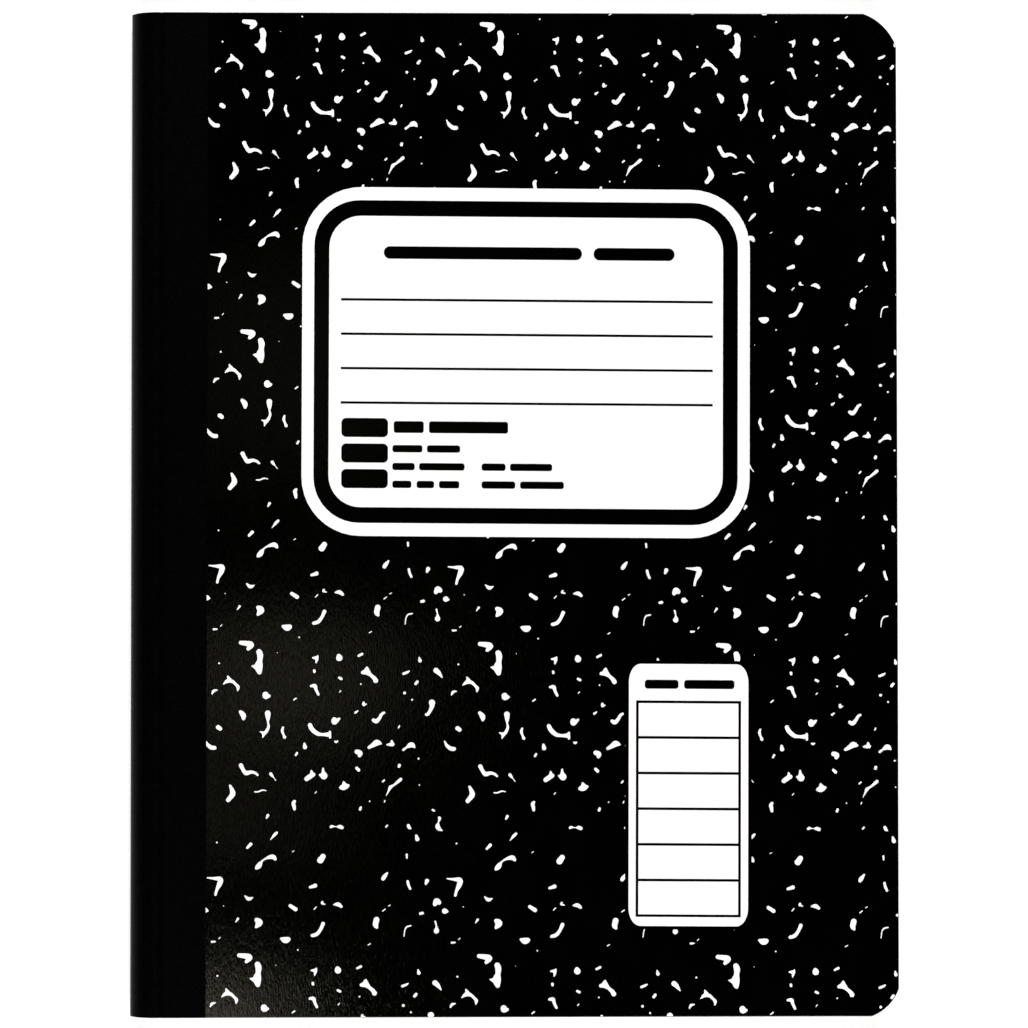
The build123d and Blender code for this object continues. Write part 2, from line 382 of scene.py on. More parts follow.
# %% Lay out the larger flecks
FLECKS = [
    [[(31.75, 134.35, 0.42), (32.4, 133.7, 0.75), (33.25, 132.5, 0.3), (34.4, 131.8, 0.42), (35.8, 131.5, 0.68),
      (36.4, 132.1, 0.46)]],
    [[(19.8, 136.65, 0.25), (21.3, 136.8, 0.42), (22.9, 137.0, 0.72), (22.8, 138.1, 0.72), (22.1, 139.6, 0.46),
      (21.8, 140.8, 0.4)]],
    [[(29.0, 141.1, 0.24), (29.9, 141.85, 0.55), (30.9, 141.5, 0.22)]],
    [[(31.85, 147.0, 0.6), (32.5, 147.65, 0.95), (31.75, 148.75, 0.4)]],
    [[(37.9, 151.6, 0.4), (38.9, 151.95, 0.88), (39.6, 151.75, 0.68)]],
    [[(48.1, 131.45, 0.75), (47.45, 132.4, 0.88)]],
    [[(45.5, 150.85, 0.5), (46.6, 150.5, 0.56), (47.5, 149.4, 0.5), (48.15, 147.95, 0.56)]],
    [[(48.0, 142.6, 0.34), (47.9, 142.95, 0.4), (48.65, 143.2, 0.2)]],
    [[(50.8, 143.3, 0.27), (51.8, 143.2, 0.6), (52.6, 143.75, 0.46)]],
    [[(75.55, 143.25, 0.56), (76.0, 142.5, 0.84), (76.6, 142.8, 0.64)]],
    [[(61.25, 147.0, 0.8), (61.0, 148.2, 0.75), (61.35, 148.9, 0.42)]],
    [[(69.7, 148.5, 0.27), (68.7, 148.75, 0.29), (68.2, 149.6, 0.24), (68.0, 151.1, 0.22)]],
    [[(75.7, 147.5, 0.34), (75.95, 148.6, 0.28), (76.0, 149.45, 0.6), (75.95, 149.75, 0.76)]],
    [[(27.6, 155.65, 0.6), (29.1, 155.85, 0.75), (30.1, 156.2, 0.85), (29.4, 157.2, 0.52)]],
    [[(32.1, 157.9, 0.78), (32.35, 158.7, 0.85), (32.25, 160.1, 0.74), (32.0, 161.5, 1.1), (32.2, 162.9, 0.66)],
     [(30.3, 161.4, 0.22), (31.5, 161.6, 0.8)]],
    [[(23.35, 165.85, 0.2), (24.5, 165.0, 0.62), (25.6, 165.2, 0.5), (26.5, 166.0, 0.42), (26.95, 166.6, 0.52),
      (26.85, 167.5, 0.22)], [(24.4, 163.85, 0.26), (24.8, 164.7, 0.62)]],
    [[(33.7, 168.45, 0.86), (33.8, 168.85, 0.8), (34.6, 168.75, 0.46)]],
    [[(34.25, 173.0, 0.8), (34.3, 174.1, 0.62), (34.3, 175.1, 0.34), (34.45, 176.3, 0.42), (33.9, 177.5, 0.5),
      (33.3, 178.1, 0.5), (33.05, 179.0, 0.2)], [(32.4, 177.55, 0.22), (33.1, 177.8, 0.45)]],
    [[(18.9, 179.6, 0.25), (19.5, 180.7, 0.5), (20.4, 181.4, 0.6), (21.2, 181.5, 0.6)]],
    [[(45.3, 159.4, 0.3), (46.2, 159.4, 0.56)], [(46.5, 158.9, 0.28), (46.3, 159.6, 0.5), (46.1, 160.6, 0.25)]],
    [[(44.9, 166.3, 0.4), (45.8, 166.3, 0.58), (46.1, 167.2, 0.46), (46.65, 168.35, 0.42)]],
    [[(44.6, 175.9, 0.6), (45.1, 176.9, 0.66), (46.4, 178.0, 0.6), (47.8, 178.25, 0.47), (49.1, 178.25, 0.66)],
     [(49.5, 177.6, 0.4), (49.55, 178.95, 0.4)]],
    [[(58.65, 161.75, 0.33), (58.6, 162.7, 0.82), (59.5, 163.6, 0.52), (60.4, 164.4, 0.6), (60.75, 165.0, 0.7)],
     [(57.55, 163.0, 0.52), (58.5, 162.8, 0.82)]],
    [[(57.8, 170.45, 0.42), (57.85, 170.95, 0.44), (58.45, 170.75, 0.24)]],
    [[(60.2, 174.7, 0.52), (60.9, 175.0, 0.62), (61.7, 174.2, 0.52), (62.2, 173.3, 0.46), (62.8, 172.9, 0.4)]],
    [[(50.6, 174.7, 0.8), (50.7, 175.15, 0.76), (51.8, 174.35, 0.38)]],
    [[(59.1, 181.45, 0.46), (60.2, 180.8, 0.66), (61.1, 180.25, 0.82), (62.1, 180.5, 0.3)]],
    [[(63.55, 180.75, 0.28), (64.4, 180.7, 0.55), (64.9, 180.65, 0.6)],
     [(64.7, 179.85, 0.34), (64.8, 180.6, 0.6)]],
    [[(67.6, 182.0, 0.42), (68.4, 181.4, 0.36), (69.2, 180.9, 0.7), (69.75, 180.85, 0.7), (70.3, 181.4, 0.32)]],
    [[(75.6, 162.5, 0.75), (76.25, 163.05, 0.62), (77.1, 164.2, 0.26)]],
    [[(74.6, 170.4, 0.86), (74.6, 171.3, 0.66), (74.2, 172.3, 0.52), (73.6, 173.25, 0.5), (73.1, 173.35, 0.38)]],
    [[(56.15, 182.5, 0.68), (56.9, 182.8, 0.72), (56.8, 183.4, 0.56)]],
    [[(27.7, 185.8, 0.62), (28.2, 186.8, 0.55), (28.95, 187.7, 0.65), (30.2, 187.45, 0.5), (31.2, 187.7, 0.42),
      (31.8, 188.2, 0.36)]],
    [[(43.8, 189.15, 0.66), (44.7, 188.5, 0.7), (45.45, 188.1, 0.6)], [(45.0, 187.1, 0.28), (45.1, 188.0, 0.62)]],
    [[(47.85, 186.6, 0.32), (47.9, 187.5, 0.52), (48.05, 188.4, 0.98)], [(47.0, 188.15, 0.3), (48.0, 188.4, 0.9)]],
    [[(25.05, 190.8, 0.4), (25.5, 191.8, 0.6), (25.7, 192.8, 0.76), (25.1, 193.7, 0.66), (24.6, 194.3, 0.64)]],
    [[(40.9, 194.6, 0.4), (40.6, 195.1, 0.56), (40.75, 196.0, 0.52), (40.85, 196.6, 0.42)]],
    [[(52.2, 191.3, 0.5), (53.0, 191.15, 0.86), (54.0, 190.8, 0.46)], [(52.9, 189.95, 0.33), (53.15, 190.8, 0.8)]],
    [[(66.9, 189.3, 0.5), (66.2, 189.9, 0.46), (65.2, 190.7, 0.36), (64.4, 191.2, 0.5), (64.0, 192.0, 0.35),
      (63.4, 193.2, 0.16)]],
    [[(49.8, 200.95, 0.42), (50.1, 200.8, 0.42), (51.0, 200.9, 0.15), (51.9, 200.9, 0.55), (52.5, 201.1, 0.52)]],
    [[(76.4, 198.7, 0.42), (76.5, 199.0, 0.45), (76.2, 199.9, 0.27), (76.0, 200.8, 0.65), (76.3, 201.4, 0.6),
      (77.1, 201.9, 0.22)]],
]
one_repeat = [melt([[dot]]) for dot in DOTS] + [melt([grain]) for grain in GRAINS] + [melt(f) for f in FLECKS]
print(len(one_repeat), "flecks in a repeat,", sum(map(len, one_repeat)), "corners")

# %% [markdown]
# ## The whole sheet of print
# The printing plate isn't quite square to the trimmed board: the repeats climb a little as they go across. Two
# steps, one across and one down, place every repeat, and only those that reach the board are kept.

# %% Repeat the flecks over a board
STEP_ACROSS = (58.8, 0.31)
STEP_DOWN = (-0.25, 76.75)
BOOK_WIDTH = (FORE_EDGE - SPINE) / MM
BOOK_HEIGHT = (HEAD - FOOT) / MM


def registered(point):
    """Where the plate really prints a point: it runs a little full towards the head and the fore edge."""
    u, v = (point.x - 48) / 100, (point.y - 165) / 100
    across = 0.037 + 0.041 * v - 0.083 * u * (1 + v) + 0.185 * u * u
    down = 0.099 * v - 0.039 * u + 0.076 * u * v - 0.095 * u * v * v
    return Vector((point.x - across, point.y - down))


def marbling(start_across):
    """Every fleck that touches a cover, from the spine or the fore edge on, in millimetres."""
    placed = []
    for row in range(-2, 3):
        for column in range(-1, 4):
            move = Vector((
                start_across + column * STEP_ACROSS[0] + row * STEP_DOWN[0],
                column * STEP_ACROSS[1] + row * STEP_DOWN[1],
            ))
            for outline in one_repeat:
                moved = [registered(point + move) for point in outline]
                across = [point.x for point in moved]
                down = [point.y for point in moved]
                on_board = max(across) > 0 and min(across) < BOOK_WIDTH
                if on_board and max(down) > 0 and min(down) < BOOK_HEIGHT:
                    placed.append(moved)
    return placed


front_flecks = marbling(0)
print(len(front_flecks), "flecks on the front cover")

# %% [markdown]
# ## The label and the ruling sample
# Both are printed with the board, so they are fields of colour in the same surface. Rounded rectangles nest to
# give the ring. No wording is drawn: where a title or small print would stand there are plain bars, and three
# stacked bars mark the three subjects.

# %% Draw rounded rectangles in the plate's own slant
RISE_ACROSS = 0.0072  # how far the plate's lines fall for each millimetre across
LEAN_DOWN = -0.0036
ARC_STEPS = 10


def rounded(centre, width, height, radius_across, radius_down=None):
    """A rectangle with elliptical corners, slanted with the printing plate."""
    radius_down = radius_across if radius_down is None else radius_down
    steps = ARC_STEPS if radius_across > 1 else 4
    loop = []
    for quarter, (side, end) in enumerate([(1, 1), (-1, 1), (-1, -1), (1, -1)]):
        for n in range(steps + 1):
            turn = math.pi / 2 * (quarter + n / steps)
            x = side * (width / 2 - radius_across) + radius_across * math.cos(turn)
            y = end * (height / 2 - radius_down) + radius_down * math.sin(turn)
            loop.append(Vector((x, y)))
    return [Vector((centre[0] + p.x + LEAN_DOWN * p.y, centre[1] + p.y + RISE_ACROSS * p.x)) for p in loop]


def bar(panel, left, right, top, bottom, radius=0.0):
    """A bar inside a panel, given by its edges on the cover."""
    middle = Vector(((left + right) / 2, (top + bottom) / 2))
    offset = middle - Vector(panel)
    slanted = Vector((offset.x + LEAN_DOWN * offset.y, offset.y + RISE_ACROSS * offset.x))
    return rounded(Vector(panel) + slanted, right - left, bottom - top, max(radius, 0.05))


LABEL = (97.78, 86.61)
SAMPLE = (137.72, 193.21)
label_fields = [
    ("white", rounded(LABEL, 110.52, 86.15, 14.5)),
    ("ink", rounded(LABEL, 104.64, 79.69, 11.2)),
    ("white", rounded(LABEL, 97.25, 71.95, 7.8)),
]
WRITING_LINE = 0.62
for row in range(4):
    line = 71.02 + 8.49 * row
    label_fields.append(("ink", bar(LABEL, 52.1, 143.9, line, line + WRITING_LINE)))
print(len(label_fields), "fields in the label")

# %% Add the plain bars where words would stand
for left, right in ((62.6, 111.5), (114.4, 134.4)):
    label_fields.append(("ink", bar(LABEL, left, right, 58.1, 61.2, 1.5)))
for row in range(3):
    label_fields.append(("ink", bar(LABEL, 52.3, 63.8, 100.6 + 6.3 * row, 105.3 + 6.3 * row, 1.2)))
small_print = [
    (101.3, 104.2, [(65.2, 72.6), (73.9, 93.4)]),
    (107.2, 109.0, [(64.9, 72.3), (73.4, 81.6)]),
    (111.6, 113.4, [(64.9, 70.4), (71.5, 82.7), (86.9, 92.8), (93.9, 104.3)]),
    (116.0, 117.8, [(64.9, 69.6), (70.9, 75.2), (76.4, 81.4), (86.9, 95.2), (96.4, 107.2)]),
]
for top, bottom, words in small_print:
    for left, right in words:
        label_fields.append(("ink", bar(LABEL, left, right, top, bottom, 0.6)))

FRAME_LEFT, FRAME_RIGHT = 124.75, 150.65
FRAME_TOP, FRAME_BOTTOM = 170.01, 223.2
ROW = 8.76
LINE = 0.66
sample_fields = [
    ("ink", rounded(SAMPLE, 31.2, 66.1, 3.8, 5.4)),
    ("white", rounded(SAMPLE, 29.45, 64.44, 2.9, 4.5)),
    ("ink", bar(SAMPLE, 126.9, 135.2, 164.9, 167.1, 0.7)),
    ("ink", bar(SAMPLE, 136.6, 149.0, 164.9, 167.1, 0.7)),
    ("ink", bar(SAMPLE, FRAME_LEFT, FRAME_RIGHT, FRAME_TOP, FRAME_BOTTOM)),
]
for row in range(6):
    top = FRAME_TOP + LINE + ROW * row
    sample_fields.append(("white", bar(SAMPLE, FRAME_LEFT + LINE, FRAME_RIGHT - LINE, top, top + ROW - LINE)))
print(len(sample_fields), "fields in the ruling sample")

# %% [markdown]
# ## The boards
# This print has only two tones and sharp edges, so it needs no texture: its edges are cut into the mesh itself.
# The constrained Delaunay routine takes the board's outline and every printed outline, and says which shapes each
# triangle lies in. The last field that holds a triangle wins, and flecks come before the label. The rim is
# rolled over a little, as a die leaves it, and the ink crushed there keeps it dark even beside a fleck.

# %% Outline a leaf or board with its punched corners
HEAD_CORNER = 8.0 * MM
FOOT_CORNER = 6.6 * MM
# each arc is larger than its reach, so the cut meets both edges at a slight angle
PUNCH_RADIUS = {HEAD_CORNER: 13.5 * MM, FOOT_CORNER: 11.2 * MM}
CORNER_STEPS = 8


def corner_points(reach):
    """The punch's arc, as (distance in from the fore edge, distance in from the head or foot)."""
    radius = PUNCH_RADIUS[reach]
    half_chord = reach / math.sqrt(2)
    to_centre = math.sqrt(radius**2 - half_chord**2)
    centre = reach / 2 + to_centre / math.sqrt(2)
    half_angle = math.asin(half_chord / radius)
    points = []
    for n in range(CORNER_STEPS + 1):
        turn = math.radians(45) + half_angle * (2 * n / CORNER_STEPS - 1)
        points.append((centre - radius * math.cos(turn), centre - radius * math.sin(turn)))
    return points


def board_outline(left, inset=0.0):
    """Round the sheet from the spine side at the foot, as X and Y in metres."""
    right, head, foot = FORE_EDGE - inset, HEAD - inset, FOOT + inset
    loop = [Vector((left, foot))]
    loop += [Vector((right - a, foot + b)) for a, b in reversed(corner_points(FOOT_CORNER))]
    loop += [Vector((right - a, head - b)) for a, b in corner_points(HEAD_CORNER)]
    loop += [Vector((left, head))]
    return loop


print("corner arc", [(round(a / MM, 2), round(b / MM, 2)) for a, b in corner_points(HEAD_CORNER)][::4])


# %% Cut a print into a flat field
def left_handed(loop):
    """The same outline, running so that its inside is on the left, as the routine below expects."""
    area = sum(a.x * b.y - b.x * a.y for a, b in zip(loop, loop[1:] + loop[:1]))
    return loop if area > 0 else loop[::-1]


def cut_fields(field, shapes):
    """Triangulates a field with shapes cut into it: the points, the triangles, and the last shape over each."""
    points, faces = [], []
    for shape in [field, *shapes]:
        faces.append(list(range(len(points), len(points) + len(shape))))
        points += left_handed(shape)
    places, _, triangles, _, _, inside = delaunay_2d_cdt(points, [], faces, 1, 1e-7)
    kept = [(triangle, max(over)) for triangle, over in zip(triangles, inside) if 0 in over]
    return places, [triangle for triangle, _ in kept], [top - 1 for _, top in kept]


def new_piece(name, mesh_maker, materials, body=None):
    """A mesh object from a function that fills a bmesh."""
    mesh = bpy.data.meshes.new(name)
    filling = bmesh.new()
    mesh_maker(filling)
    filling.to_mesh(mesh)
    filling.free()
    for material in materials:
        mesh.materials.append(material)
    piece = bpy.data.objects.new(name, mesh)
    bpy.context.scene.collection.objects.link(piece)
    if body:
        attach(piece, body)
    return piece


def open_rim(filling):
    """The vertices round a mesh's one open edge, in turn, from the same one in every run."""
    beside = {}
    for edge in filling.edges:
        if len(edge.link_faces) == 1:
            a, b = edge.verts
            beside.setdefault(a, []).append(b)
            beside.setdefault(b, []).append(a)
    start = next(iter(beside))
    loop, before, at = [start], start, beside[start][0]
    while at is not start:
        loop.append(at)
        before, at = at, next(v for v in beside[at] if v is not before)
    return loop


INK, WHITE, CUT = 0, 1, 2
RIM = 0.14 * MM
BELOW_TAPE = 0.05 * MM  # the tape stands this far above the print


def fill_board(filling, face_z, inner_z, shapes, colours):
    """A closed board: printed face, rolled rim, cut edge and plain inside."""
    outward = 1 if face_z > inner_z else -1
    field = board_outline(BOARD_START, RIM)
    field[0].x = field[-1].x = BOARD_START + RIM
    places, triangles, tops = cut_fields(field, shapes)
    face_points = [filling.verts.new((p.x, p.y, face_z)) for p in places]
    for triangle, top in zip(triangles, tops):
        face = filling.faces.new([face_points[i] for i in triangle])
        face.material_index = INK if top < 0 else colours[top]
    loose = [v for v in filling.verts if not v.link_faces]
    bmesh.ops.delete(filling, geom=loose, context="VERTS")
    rim_edges = [e for e in filling.edges if len(e.link_faces) == 1]
    ring = open_rim(filling)
    normals = {v: Vector((0, 0)) for v in ring}
    for edge in rim_edges:
        a, b = edge.verts
        inside = edge.link_faces[0].calc_center_median()
        along = (b.co - a.co).to_2d()
        out = Vector((along.y, -along.x)).normalized()
        if out.dot(inside.to_2d() - a.co.to_2d()) > 0:
            out.negate()
        for v in (a, b):
            normals[v] += out * along.length
    levels = [dict((v, v) for v in ring)]
    for share_out, drop in ((0.62, 0.2), (1.0, 0.75)):
        level = {}
        for v in ring:
            out = normals[v].normalized() * RIM * share_out
            level[v] = filling.verts.new((v.co.x + out.x, v.co.y + out.y, face_z - outward * drop * RIM))
        levels.append(level)
    inner = {v: filling.verts.new((levels[-1][v].co.x, levels[-1][v].co.y, inner_z)) for v in ring}
    levels.append(inner)
    for depth, (upper, lower) in enumerate(zip(levels, levels[1:])):
        for edge in rim_edges:
            a, b = edge.verts
            wall = filling.faces.new((upper[a], upper[b], lower[b], lower[a]))
            wall.material_index = INK if depth < 2 else CUT
            wall.smooth = depth < 2
    back = filling.faces.new([inner[v] for v in ring])
    back.material_index = CUT
    bmesh.ops.recalc_face_normals(filling, faces=filling.faces)


print("rim", RIM / MM, "mm")


# %% Make both boards
def on_front(point):
    """Millimetres across and down the front cover, as X and Y."""
    return Vector((SPINE + point.x * MM, HEAD - point.y * MM))


def on_back(point):
    """The same on the back cover, seen from outside, where the spine is on the right."""
    return Vector((FORE_EDGE - point.x * MM, HEAD - point.y * MM))


def make_board(name, node, body, face_z, inner_z, place, flecks, fields):
    shapes = [[place(p) for p in outline] for outline in flecks + [shape for _, shape in fields]]
    colours = [WHITE] * len(flecks) + [INK if tone == "ink" else WHITE for tone, _ in fields]
    finishes = [ink, bare_coating, board_edge]
    piece = new_piece(name, lambda b: fill_board(b, face_z, inner_z, shapes, colours), finishes, body)
    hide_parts(node)
    print(name, len(piece.data.polygons), "faces")
    return piece


BACK_START = -31.0  # millimetres that the back cover's print is shifted by, as its sheet was cut elsewhere
make_board("printed_front_board", "front_cover", "front_board", TOP - BELOW_TAPE, BOARD_INSIDE,
           on_front, front_flecks, label_fields + sample_fields)
make_board("printed_back_board", "back_cover", "back_board", BELOW_TAPE, TOP - BOARD_INSIDE,
           on_back, marbling(BACK_START), [])

# %% [markdown]
# ## The tape
# One strip of embossed tape runs from cover to cover round the sewn back. The CAD tape is rigid, so the strip
# is made again as two halves that meet on the back's widest line. Its section is the CAD one: flat flap,
# V-shaped crease, then a quarter of an ellipse. The flap's edge leans a hair towards the head, where the strip
# was laid by machine. Inside, the strip shows its white paper lining, which is what bridges the gutter when a
# cover opens.


# %% Make the tape's finish
def embossed_tape():
    """Black tape with a fine pebbled grain."""
    finish = Finish("tape_grain", Specular_IOR_Level=0.022)
    pebbles = finish.grain((0.5 * MM, 0.62 * MM, 0.5 * MM), detail=3.0, roughness=0.6)
    clouds = finish.grain((2.4 * MM, 3.0 * MM, 2.4 * MM), detail=3.0)
    tone = finish.band(0.7 * pebbles + 0.3 * clouds, 0.4, 0.62)
    finish.set("Base Color", finish.mix(tone, (0.0002, 0.0002, 0.0002), (0.0010, 0.0010, 0.0010)))
    finish.set("Roughness", 0.24 + 0.16 * pebbles)
    finish.bump(pebbles + 0.8 * clouds, 0.05 * MM)
    return finish.material


tape_grain = embossed_tape()
print("tape finish", tape_grain.name)

# %% Run the tape's section from the flap to the back's widest line
GROOVE_DEPTH = 0.4 * MM
FLAP_BEVEL = 0.2 * MM  # how far in from its edge the flap starts to thin
FLAP_THINNING = 0.02 * MM
CREASE_MARGIN = 1.0 * MM  # flat tape kept beside the crease
NOSE_STEPS = 14
CREASE_STEPS = 12


def tape_section(depth, flap_depth):
    """Half the section at a depth under the outer face, as X and height above the middle of the book."""
    rise = MIDDLE - depth
    flap_stations = (TAPE_EDGE, TAPE_EDGE - FLAP_BEVEL, BOARD_START + CREASE_MARGIN)
    points = [(x, MIDDLE - flap_depth) for x in flap_stations]
    for n in range(CREASE_STEPS + 1):
        share = n / CREASE_STEPS
        valley = 1 - abs(2 * share - 1)
        eased = valley * valley * (3 - 2 * valley)
        level = (1 - share) * (MIDDLE - flap_depth) + share * rise
        points.append((BOARD_START + (NOSE_START - BOARD_START) * share, level - GROOVE_DEPTH * eased))
    for n in range(1, NOSE_STEPS + 1):
        turn = math.pi / 2 * n / NOSE_STEPS
        reach = NOSE_START - SPINE - depth
        points.append((NOSE_START - reach * math.sin(turn), rise * math.cos(turn)))
    return points


ALONG_STEPS = 24
END_RING = 0.1 * MM  # keeps the soft shading off the last stretch of the strip
FLAP_LEAN = 0.4 * MM


def fill_tape(filling, side):
    """Half of the strip, closed all round. side is 1 on the front and -1 on the back."""
    outer = tape_section(0.0, 0.0)
    inner = tape_section(TAPE, BELOW_TAPE)
    outer[0] = (outer[0][0], outer[0][1] - FLAP_THINNING)
    shares = [n / ALONG_STEPS for n in range(ALONG_STEPS + 1)]
    end = END_RING / (HEAD - FOOT)
    rings = []
    for share in sorted([*shares, end, 1 - end]):
        y = FOOT + (HEAD - FOOT) * share
        lean = FLAP_LEAN * share
        ring = [(x + lean, z) if x > TAPE_EDGE - MM else (x, z) for x, z in outer + inner[::-1]]
        rings.append([filling.verts.new((x, y, MIDDLE + side * z)) for x, z in ring])
    for low, high in zip(rings, rings[1:]):
        for i in range(len(low)):
            j = (i + 1) % len(low)
            face = filling.faces.new((low[i], low[j], high[j], high[i]))
            face.smooth = i < len(outer) - 1
            face.material_index = 1 if len(outer) <= i < len(low) - 1 else 0
    for ring in (rings[0], rings[-1]):
        for i in range(len(outer) - 1):
            filling.faces.new((ring[i], ring[i + 1], ring[-2 - i], ring[-1 - i]))
    bmesh.ops.recalc_face_normals(filling, faces=filling.faces)


# %% [markdown]
# ## The sheets
# Sixty folded sheets nest in one another, which is why their edges at the head and foot run as long U shapes.
# Only cut edges are ever seen, so the block is a comb: one tooth for each sheet runs round the foot, the fore edge
# and the head, with a fine groove between teeth, and each tooth was trimmed a few hundredths of a millimetre
# differently. Sixty whole sheets would look the same and hide a hundred faces as large as the page.


# %% Make the paper finishes
def paper(name, dark, light):
    """Uncoated school paper with a faint formation."""
    finish = Finish(name, Roughness=0.85, Specular_IOR_Level=0.25)
    cloud = finish.grain((1.6 * MM, 1.6 * MM, 1.6 * MM), detail=4.0, roughness=0.6)
    finish.set("Base Color", finish.mix(finish.band(cloud, 0.35, 0.65), dark, light))
    finish.bump(cloud, 0.02 * MM, 0.5)
    return finish.material


leaf_paper = paper("leaf_paper", (0.69, 0.685, 0.65), (0.77, 0.765, 0.735))
rule_blue = paper("rule_blue", (0.14, 0.29, 0.54), (0.22, 0.38, 0.62))
margin_red = paper("margin_red", (0.62, 0.14, 0.19), (0.70, 0.22, 0.28))
lining_paper = paper("lining_paper", (0.71, 0.71, 0.69), (0.78, 0.78, 0.76))
divider_card = paper("divider_card", (0.42, 0.56, 0.60), (0.50, 0.63, 0.66))
print("paper finishes ready")


# %% Make the finish of the cut leaves, with painted shade between them
def cut_leaves_painted_shade():
    """Paper edges: thin layers that differ a little, and painted shade that makes them darker than the face."""
    finish = Finish("leaf_edge_painted_shade", Roughness=0.9, Specular_IOR_Level=0.15)
    leaves = finish.grain((14 * MM, 14 * MM, 0.1 * MM), detail=1.0)
    bundles = finish.grain((40 * MM, 40 * MM, 0.55 * MM), detail=2.0)
    knife = finish.grain((1.1 * MM, 1.1 * MM, 9 * MM), detail=3.0, roughness=0.6)
    # painted shade: the dark end of the range, and partly the leaf and bundle bands, stand for shade between
    # leaves
    tone = finish.band(0.5 * leaves + 0.3 * bundles + 0.2 * knife, 0.38, 0.62)
    finish.set("Base Color", finish.mix(tone, (0.50, 0.49, 0.455), (0.77, 0.76, 0.72)))
    finish.bump(leaves + 0.5 * knife, 0.03 * MM)
    return finish.material


leaf_edge_painted_shade = cut_leaves_painted_shade()
print("edge of the leaves", leaf_edge_painted_shade.name)

# %% [markdown]
# The tape's two halves need the lining paper for their inner side, so they are made only now.

# %% Tape the book
for side, name, body in ((1, "tape_front_half", "front_board"), (-1, "tape_back_half", "back_board")):
    half = new_piece(name, lambda b: fill_tape(b, side), [tape_grain, lining_paper])
    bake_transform(half)
    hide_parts("spine_tape")
    print(name, len(half.data.polygons), "faces")

# %% Follow a sheet round its cut edges
NOTCH = 0.012 * MM
NOTCH_DEPTH = 0.13 * MM
TRIM = 0.035 * MM
HALF = PAGES_TOP - MIDDLE
GLUE = 0.03 * MM  # between the fold of the sheets and the tape
SHOULDER = MIDDLE - TAPE - GLUE
SUBJECT_LEAVES = LEAF_COUNT // 3 // 2
SHEETS = LEAF_COUNT // 2
dice = random.Random(7)


def leaf_level(count):
    """Height above the book's middle of the face outside that many leaves, leaving room for the divider."""
    if count <= SUBJECT_LEAVES:
        return (DIVIDER_UNDER - MIDDLE) * count / SUBJECT_LEAVES
    outside = (count - SUBJECT_LEAVES) / (SHEETS - SUBJECT_LEAVES)
    return (DIVIDER_OVER - MIDDLE) + (HALF - (DIVIDER_OVER - MIDDLE)) * outside


def half_path(level, stations):
    """From the fore edge to the fold at a level, as X and height: flat, then swelling, then round."""
    share = level / HALF
    points = [(x, level) for x in stations]
    for n in range(1, 5):
        t = n / 4
        eased = t * t * (3 - 2 * t)
        points.append((BOARD_START + (NOSE_START - BOARD_START) * t, level + (SHOULDER - HALF) * share * eased))
    reach = (NOSE_START - SPINE - TAPE) - (1 - share) * HALF
    for n in range(1, 9):
        turn = math.pi / 2 * n / 8
        points.append((NOSE_START - reach * math.sin(turn), SHOULDER * share * math.cos(turn)))
    return points


def trimmed(x, fore, head, foot):
    """Where a sheet ends at the foot and head, at some X, with its punched corners."""
    inward = fore - x
    ends = []
    for reach in (FOOT_CORNER, HEAD_CORNER):
        arc = corner_points(reach)
        cut = 0.0
        for (a, b), (c, d) in zip(arc, arc[1:]):
            if c <= inward <= a or a <= inward <= c:
                cut = b + (d - b) * (inward - a) / (c - a)
        ends.append(cut)
    return foot + ends[0], head - ends[1]


corner_stations = sorted({a for reach in (FOOT_CORNER, HEAD_CORNER) for a, _ in corner_points(reach)})


def cut_edge(level, trim, inset=0.0, whole=True):
    """Once round a folded sheet: along the foot from its upper leaf to its lower one, and back along the head."""
    fore, head, foot = trim[0] - inset, trim[1] - inset, trim[2] + inset
    stations = [fore - a for a in corner_stations] if whole else []
    half = half_path(level, stations + [BOARD_START])
    path = half + [(x, -z) for x, z in half[-2::-1]]
    ends = [trimmed(x, fore, head, foot) for x, _ in path]
    at_foot = [(x, y, MIDDLE + z) for (x, z), (y, _) in zip(path, ends)]
    at_head = [(x, y, MIDDLE + z) for (x, z), (_, y) in zip(path, ends)]
    return at_foot + at_head[::-1]


print("a sheet has", len(cut_edge(HALF, (FORE_EDGE, HEAD, FOOT))), "stations round it")


# %% Comb the block
def skin(filling, ring):
    """The face of a folded sheet, strip by strip from its upper leaf round the fold to its lower one."""
    for i in range(len(ring) // 2 - 1):
        filling.faces.new((ring[i], ring[i + 1], ring[-2 - i], ring[-1 - i]))


def join_rings(filling, rings):
    for first, second in zip(rings, rings[1:]):
        for i in range(len(first)):
            filling.faces.new((first[i - 1], first[i], second[i], second[i - 1]))


def fill_comb(filling):
    rings = []
    for count in range(SHEETS - 1):
        trim = [edge - dice.uniform(TRIM, 2 * TRIM) for edge in (FORE_EDGE, HEAD, -FOOT)]
        trim[2] = -trim[2]
        low, high = leaf_level(count), leaf_level(count + 1)
        rows = [cut_edge(low, trim, NOTCH_DEPTH), cut_edge(low + NOTCH, trim), cut_edge(high - NOTCH, trim)]
        rings += [[filling.verts.new(place) for place in row] for row in rows]
    join_rings(filling, rings)
    skin(filling, rings[-1])
    bmesh.ops.remove_doubles(filling, verts=rings[0], dist=0.001 * MM)
    fold = (FORE_EDGE, HEAD - TRIM, FOOT + TRIM)
    levels = (leaf_level(SHEETS - 1) + NOTCH, leaf_level(SHEETS))
    outermost = [[filling.verts.new(place) for place in cut_edge(z, fold, whole=False)] for z in levels]
    join_rings(filling, outermost)
    for ring in outermost:
        skin(filling, ring)
    bmesh.ops.recalc_face_normals(filling, faces=filling.faces)


sheets = new_piece("folded_sheets", fill_comb, [leaf_edge_painted_shade], "text_block")
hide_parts("page_block")
print("sheets", len(sheets.data.polygons), "faces")

